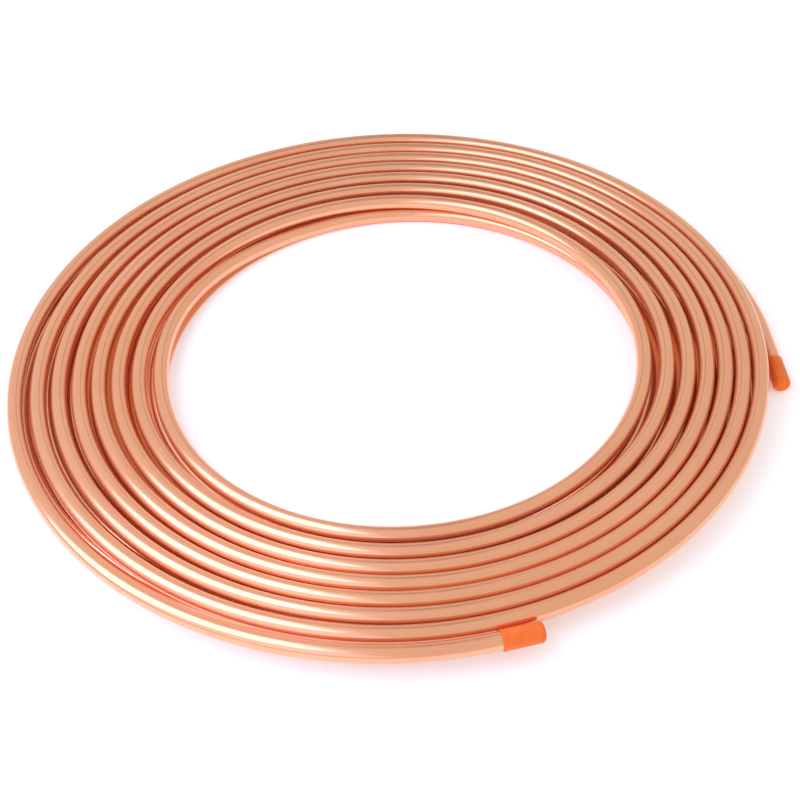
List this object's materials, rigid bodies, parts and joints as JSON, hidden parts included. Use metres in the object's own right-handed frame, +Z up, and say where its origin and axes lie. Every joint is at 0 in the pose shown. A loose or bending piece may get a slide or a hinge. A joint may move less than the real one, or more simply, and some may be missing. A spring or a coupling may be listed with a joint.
{
  "type": "copper tube coil",
  "caption": "Flat double-layer pancake coil of soft copper tube with an open middle and a plastic cap pushed on each end.",
  "frame": {"origin": "middle of the coil's open bore, on the floor plane it lies on", "axes": "+Z up along the coil's axis, -Y towards the front end of the tube, +X towards the side end"},
  "size_m": [0.469, 0.4655, 0.0207],
  "materials": {
    "copper": "bright soft-drawn copper, lightly stained",
    "orange_plastic": "matte soft vinyl"
  },
  "bodies": {
    "root": {"copper_tube": "copper", "front_end_cap": "orange_plastic", "side_end_cap": "orange_plastic"}
  },
  "joints": []
}
